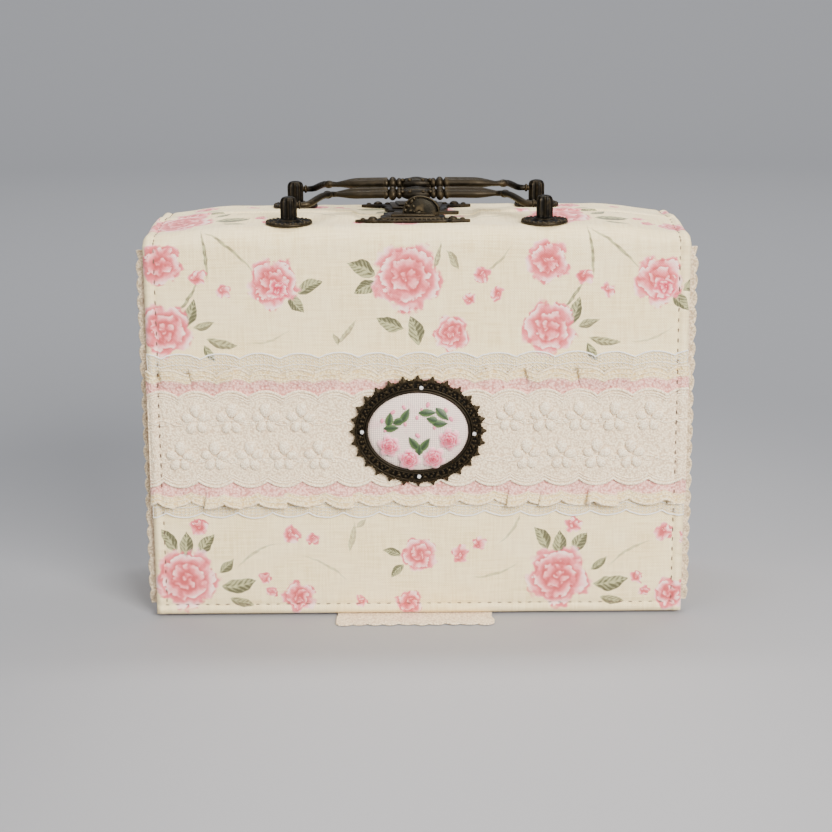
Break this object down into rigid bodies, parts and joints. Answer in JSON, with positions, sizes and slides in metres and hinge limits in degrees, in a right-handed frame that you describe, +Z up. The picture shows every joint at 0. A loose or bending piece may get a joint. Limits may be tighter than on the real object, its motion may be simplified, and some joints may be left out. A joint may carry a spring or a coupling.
{
  "type": "sewing box with trays",
  "caption": "Padded fabric-covered sewing box with fold-down covers, lift-up top flaps, swinging bail pulls, a turn latch and trays that ride out level on paired arms.",
  "frame": {"origin": "middle of the underside, on the surface the box stands on", "axes": "+X along the box's width to the viewer's right, -Y towards the front with the brooch, +Z up"},
  "size_m": [0.225, 0.1, 0.1784],
  "materials": {
    "arm_steel": "satin",
    "board_fabric": "woven",
    "brass_rivets": "satin",
    "bronze": "antiqued",
    "crochet_edging": "crochet",
    "crochet_trim": "crochet",
    "flower_lace": "lace",
    "hinge_fabric": "woven",
    "lining_pad": "quilted",
    "net_lace": "net",
    "rose_fabric": "printed linen",
    "rose_ribbon": "satin ribbon",
    "tray_board": "paper covered",
    "woven_stone": "woven"
  },
  "bodies": {
    "base": {"bottom_board": "board_fabric", "side_board_left": "board_fabric", "side_board_right": "board_fabric", "side_edging_left": "crochet_edging", "side_edging_right": "crochet_edging", "front_hinge_strap": "hinge_fabric", "rear_hinge_strap": "hinge_fabric", "fixed_tray": "tray_board", "fixed_tray_pad": "lining_pad", "wall_rivets_left": "brass_rivets", "wall_rivets_right": "brass_rivets"},
    "front_cover": {"front_cover": "rose_fabric", "front_flower_lace": "flower_lace", "front_crochet_trim": "crochet_trim", "front_net_lace": "net_lace", "brooch_frame": "bronze", "brooch_stone": "woven_stone", "brooch_roses": "rose_ribbon"},
    "front_flap": {"front_flap": "rose_fabric", "front_clasp_plate": "bronze", "front_post_nuts": "brass_rivets", "front_rosette_left": "bronze", "front_rosette_right": "bronze", "front_post_left": "bronze", "front_post_right": "bronze"},
    "front_bail": {"front_bail": "bronze"},
    "front_outer_arms": {"front_outer_arm_left": "arm_steel", "front_outer_arm_right": "arm_steel"},
    "front_inner_arms": {"front_inner_arm_left": "arm_steel", "front_inner_arm_right": "arm_steel"},
    "front_middle_tray": {"front_middle_tray": "tray_board", "front_middle_tray_pad": "lining_pad", "front_middle_tray_rivets": "brass_rivets"},
    "front_upper_tray": {"front_upper_tray": "tray_board", "front_upper_tray_pad": "lining_pad", "front_upper_tray_rivets": "brass_rivets"},
    "rear_cover": {"rear_cover": "rose_fabric", "rear_flower_lace": "flower_lace", "rear_crochet_trim": "crochet_trim", "rear_net_lace": "net_lace"},
    "rear_flap": {"rear_flap": "rose_fabric", "rear_clasp_plate": "bronze", "rear_post_nuts": "brass_rivets", "rear_rosette_left": "bronze", "rear_rosette_right": "bronze", "rear_post_left": "bronze", "rear_post_right": "bronze"},
    "rear_bail": {"rear_bail": "bronze"},
    "rear_outer_arms": {"rear_outer_arm_left": "arm_steel", "rear_outer_arm_right": "arm_steel"},
    "rear_inner_arms": {"rear_inner_arm_left": "arm_steel", "rear_inner_arm_right": "arm_steel"},
    "rear_middle_tray": {"rear_middle_tray": "tray_board", "rear_middle_tray_pad": "lining_pad", "rear_middle_tray_rivets": "brass_rivets"},
    "rear_upper_tray": {"rear_upper_tray": "tray_board", "rear_upper_tray_pad": "lining_pad", "rear_upper_tray_rivets": "brass_rivets"},
    "latch": {"turn_knob": "bronze", "latch_tongue": "bronze"}
  },
  "joints": [
    {"name": "front_cover_fold", "type": "hinge", "parent": "base", "child": "front_cover", "pos_m": [0, -0.0355, 0.004], "axis": [1, 0, 0], "range_deg": [0, 80]},
    {"name": "front_flap_lift", "type": "hinge", "parent": "front_cover", "child": "front_flap", "pos_m": [0, -0.038, 0.1555], "axis": [1, 0, 0], "range_deg": [0, 80]},
    {"name": "front_bail_swing", "type": "hinge", "parent": "front_flap", "child": "front_bail", "pos_m": [0, -0.0248, 0.1717], "axis": [1, 0, 0], "range_deg": [0, 150]},
    {"name": "front_outer_arm_swing", "type": "hinge", "parent": "base", "child": "front_outer_arms", "pos_m": [0, -0.0264, 0.028], "axis": [1, 0, 0], "range_deg": [-1, 47]},
    {"name": "front_inner_arm_swing", "type": "hinge", "parent": "base", "child": "front_inner_arms", "pos_m": [0, -0.0144, 0.028], "axis": [1, 0, 0], "range_deg": [-1, 47]},
    {"name": "front_middle_tray_level", "type": "hinge", "parent": "front_outer_arms", "child": "front_middle_tray", "pos_m": [0, -0.0217, 0.07275], "axis": [1, 0, 0], "range_deg": [-47, 1]},
    {"name": "front_upper_tray_level", "type": "hinge", "parent": "front_outer_arms", "child": "front_upper_tray", "pos_m": [0, -0.01699, 0.11751], "axis": [1, 0, 0], "range_deg": [-47, 1]},
    {"name": "rear_cover_fold", "type": "hinge", "parent": "base", "child": "rear_cover", "pos_m": [0, 0.0355, 0.004], "axis": [-1, 0, 0], "range_deg": [0, 80]},
    {"name": "rear_flap_lift", "type": "hinge", "parent": "rear_cover", "child": "rear_flap", "pos_m": [0, 0.038, 0.1555], "axis": [-1, 0, 0], "range_deg": [0, 80]},
    {"name": "rear_bail_swing", "type": "hinge", "parent": "rear_flap", "child": "rear_bail", "pos_m": [0, 0.0248, 0.1717], "axis": [-1, 0, 0], "range_deg": [0, 150]},
    {"name": "rear_outer_arm_swing", "type": "hinge", "parent": "base", "child": "rear_outer_arms", "pos_m": [0, 0.0264, 0.028], "axis": [-1, 0, 0], "range_deg": [-1, 47]},
    {"name": "rear_inner_arm_swing", "type": "hinge", "parent": "base", "child": "rear_inner_arms", "pos_m": [0, 0.0144, 0.028], "axis": [-1, 0, 0], "range_deg": [-1, 47]},
    {"name": "rear_middle_tray_level", "type": "hinge", "parent": "rear_outer_arms", "child": "rear_middle_tray", "pos_m": [0, 0.0217, 0.07275], "axis": [-1, 0, 0], "range_deg": [-47, 1]},
    {"name": "rear_upper_tray_level", "type": "hinge", "parent": "rear_outer_arms", "child": "rear_upper_tray", "pos_m": [0, 0.01699, 0.11751], "axis": [-1, 0, 0], "range_deg": [-47, 1]},
    {"name": "latch_turn", "type": "hinge", "parent": "front_flap", "child": "latch", "pos_m": [0, -0.015, 0.166], "axis": [0, 0, 1], "range_deg": [0, 90]}
  ],
  "couplings": [
    {"joint": "front_outer_arm_swing", "follows": "front_cover_fold", "ratio": 0.575},
    {"joint": "front_inner_arm_swing", "follows": "front_cover_fold", "ratio": 0.575},
    {"joint": "front_middle_tray_level", "follows": "front_cover_fold", "ratio": -0.575},
    {"joint": "front_upper_tray_level", "follows": "front_cover_fold", "ratio": -0.575},
    {"joint": "rear_outer_arm_swing", "follows": "rear_cover_fold", "ratio": 0.575},
    {"joint": "rear_inner_arm_swing", "follows": "rear_cover_fold", "ratio": 0.575},
    {"joint": "rear_middle_tray_level", "follows": "rear_cover_fold", "ratio": -0.575},
    {"joint": "rear_upper_tray_level", "follows": "rear_cover_fold", "ratio": -0.575}
  ]
}
